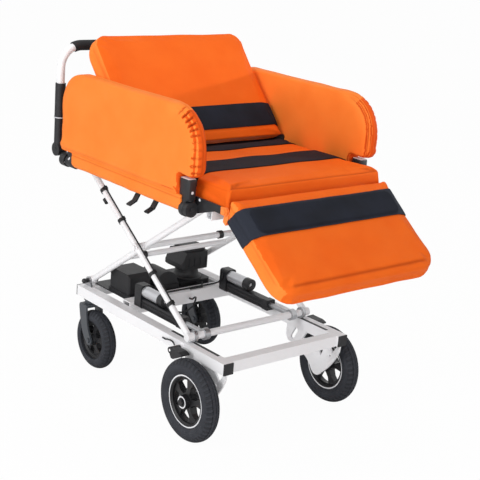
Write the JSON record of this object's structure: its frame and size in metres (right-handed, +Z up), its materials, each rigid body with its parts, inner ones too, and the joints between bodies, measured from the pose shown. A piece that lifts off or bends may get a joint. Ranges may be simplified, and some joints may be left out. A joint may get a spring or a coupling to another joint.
{
  "type": "special needs buggy",
  "caption": "Height-adjustable special needs buggy: powered scissor base on wheels and casters, padded seat with reclining back, angled legrest, fold-down sides and push bar.",
  "frame": {"origin": "on the floor, under the middle of the overall box", "axes": "+X forward to the legrest, +Y to the occupant's left, +Z up"},
  "size_m": [1.0914, 0.724, 1.1058],
  "materials": {
    "white_paint": "satin powder coat",
    "orange_fabric": "coated weave",
    "black_webbing": "padded weave",
    "black_plastic": "moulded, fine grain",
    "tyre_rubber": "matt rubber",
    "cable_rubber": "smooth sheath",
    "grip_foam": "closed-cell foam",
    "black_aluminium": "black anodised",
    "bright_steel": "brushed",
    "grey_paint": "dark grey powder coat",
    "deck_board": "black-faced board"
  },
  "bodies": {
    "base": {"side_rail_right": "white_paint", "side_rail_left": "white_paint", "front_cross_tube": "white_paint", "rear_cross_tube": "white_paint", "actuator_beam": "white_paint", "rail_trim": "black_plastic", "wheel_brackets": "white_paint", "pivot_brackets": "bright_steel", "caster_heads": "grey_paint", "actuator_right": "black_aluminium", "actuator_left": "black_aluminium", "motors": "bright_steel", "power_tray": "black_plastic", "control_box": "black_plastic", "power_housing": "black_plastic", "battery_dock": "black_plastic", "battery_pack": "black_plastic", "harness": "cable_rubber"},
    "front_wheel_right": {"tyre_right": "tyre_rubber", "rim_right": "black_plastic"},
    "front_wheel_left": {"tyre_left": "tyre_rubber", "rim_left": "black_plastic"},
    "caster_right": {"caster_fork_right": "grey_paint"},
    "caster_wheel_right": {"caster_rim_right": "black_plastic", "caster_tyre_right": "tyre_rubber"},
    "caster_left": {"caster_fork_left": "grey_paint"},
    "caster_wheel_left": {"caster_rim_left": "black_plastic", "caster_tyre_left": "tyre_rubber"},
    "brake_right": {"brake_shoe_right": "black_plastic"},
    "brake_left": {"brake_shoe_left": "black_plastic"},
    "arms_b": {"arm_b_right": "white_paint", "arm_b_left": "white_paint", "arm_b_tubes": "white_paint", "slide_rollers": "black_plastic"},
    "arms_a": {"arm_a_right": "white_paint", "arm_a_left": "white_paint", "crossbar": "white_paint", "track_rollers": "bright_steel", "arm_cable": "cable_rubber"},
    "rod_right": {"actuator_rod_right": "bright_steel"},
    "rod_left": {"actuator_rod_left": "bright_steel"},
    "seat": {"seat_frame": "white_paint", "hinge_plates": "black_plastic", "seat_deck": "deck_board", "seat_cushion": "orange_fabric", "seat_straps": "black_webbing"},
    "lever": {"release_lever": "black_plastic"},
    "back": {"back_frame": "black_plastic", "back_cushion": "orange_fabric", "back_strap": "black_webbing"},
    "legrest": {"legrest_frame": "black_plastic", "legrest_cushion": "orange_fabric", "calf_strap": "black_webbing"},
    "panel_right": {"panel_frame_right": "black_plastic", "panel_pad_right": "orange_fabric"},
    "panel_left": {"panel_frame_left": "black_plastic", "panel_pad_left": "orange_fabric"},
    "push": {"push_bar": "white_paint", "push_sockets": "black_plastic", "push_grip": "grip_foam"}
  },
  "joints": [
    {"name": "lift", "type": "hinge", "parent": "base", "child": "arms_b", "pos_m": [-0.49972, 0, 0.289], "axis": [0, 1, 0], "range_deg": [-7.5, 12.5]},
    {"name": "scissor", "type": "hinge", "parent": "arms_b", "child": "arms_a", "pos_m": [-0.20823, 0, 0.48934], "axis": [0, 1, 0], "range_deg": [-25, 15]},
    {"name": "seat_level", "type": "hinge", "parent": "arms_a", "child": "seat", "pos_m": [-0.49972, 0, 0.68968], "axis": [0, 1, 0], "range_deg": [-7.5, 12.5]},
    {"name": "rod_right_turn", "type": "hinge", "parent": "arms_a", "child": "rod_right", "pos_m": [0.08326, 0, 0.289], "axis": [0, 1, 0], "range_deg": [-7.5, 12.5]},
    {"name": "rod_left_turn", "type": "hinge", "parent": "arms_a", "child": "rod_left", "pos_m": [0.08326, 0, 0.289], "axis": [0, 1, 0], "range_deg": [-7.5, 12.5]},
    {"name": "recline", "type": "hinge", "parent": "seat", "child": "back", "pos_m": [-0.17222, 0, 0.81148], "axis": [0, 1, 0], "range_deg": [-45, 35]},
    {"name": "legrest_angle", "type": "hinge", "parent": "seat", "child": "legrest", "pos_m": [0.29628, 0, 0.74308], "axis": [0, 1, 0], "range_deg": [-37.5, 32.5]},
    {"name": "panel_right_fold", "type": "hinge", "parent": "seat", "child": "panel_right", "pos_m": [0.16628, -0.337, 0.72108], "axis": [1, 0, 0], "range_deg": [0, 90]},
    {"name": "panel_left_fold", "type": "hinge", "parent": "seat", "child": "panel_left", "pos_m": [0.16628, 0.337, 0.72108], "axis": [-1, 0, 0], "range_deg": [0, 90]},
    {"name": "push_bar_angle", "type": "hinge", "parent": "seat", "child": "push", "pos_m": [-0.52372, 0, 0.74608], "axis": [0, 1, 0], "range_deg": [-75, 0]},
    {"name": "release", "type": "hinge", "parent": "seat", "child": "lever", "pos_m": [0.16628, -0.26, 0.69108], "axis": [1, 0, 0], "range_deg": [-14, 0], "stiffness_Nm_per_rad": 1.2, "springref_deg": 6.88},
    {"name": "front_right_spin", "type": "hinge", "parent": "base", "child": "front_wheel_right", "pos_m": [0.16628, -0.285, 0.127], "axis": [0, 1, 0], "continuous": true},
    {"name": "front_left_spin", "type": "hinge", "parent": "base", "child": "front_wheel_left", "pos_m": [0.16628, 0.285, 0.127], "axis": [0, 1, 0], "continuous": true},
    {"name": "caster_right_swivel", "type": "hinge", "parent": "base", "child": "caster_right", "pos_m": [-0.47873, -0.223, 0.1], "axis": [0, 0, 1], "continuous": true},
    {"name": "caster_right_spin", "type": "hinge", "parent": "caster_right", "child": "caster_wheel_right", "pos_m": [-0.43373, -0.223, 0.1], "axis": [0, 1, 0], "continuous": true},
    {"name": "caster_left_swivel", "type": "hinge", "parent": "base", "child": "caster_left", "pos_m": [-0.47873, 0.223, 0.1], "axis": [0, 0, 1], "continuous": true},
    {"name": "caster_left_spin", "type": "hinge", "parent": "caster_left", "child": "caster_wheel_left", "pos_m": [-0.43373, 0.223, 0.1], "axis": [0, 1, 0], "continuous": true},
    {"name": "brake_right_press", "type": "hinge", "parent": "base", "child": "brake_right", "pos_m": [0.06628, 0, 0.2525], "axis": [0, 1, 0], "range_deg": [0, 3.6]},
    {"name": "brake_left_press", "type": "hinge", "parent": "base", "child": "brake_left", "pos_m": [0.06628, 0, 0.2525], "axis": [0, 1, 0], "range_deg": [0, 3.6]}
  ],
  "couplings": [
    {"joint": "scissor", "follows": "lift", "ratio": -2},
    {"joint": "seat_level", "follows": "lift", "ratio": 1},
    {"joint": "rod_right_turn", "follows": "lift", "ratio": 1},
    {"joint": "rod_left_turn", "follows": "lift", "ratio": 1},
    {"joint": "brake_left_press", "follows": "brake_right_press", "ratio": 1}
  ]
}
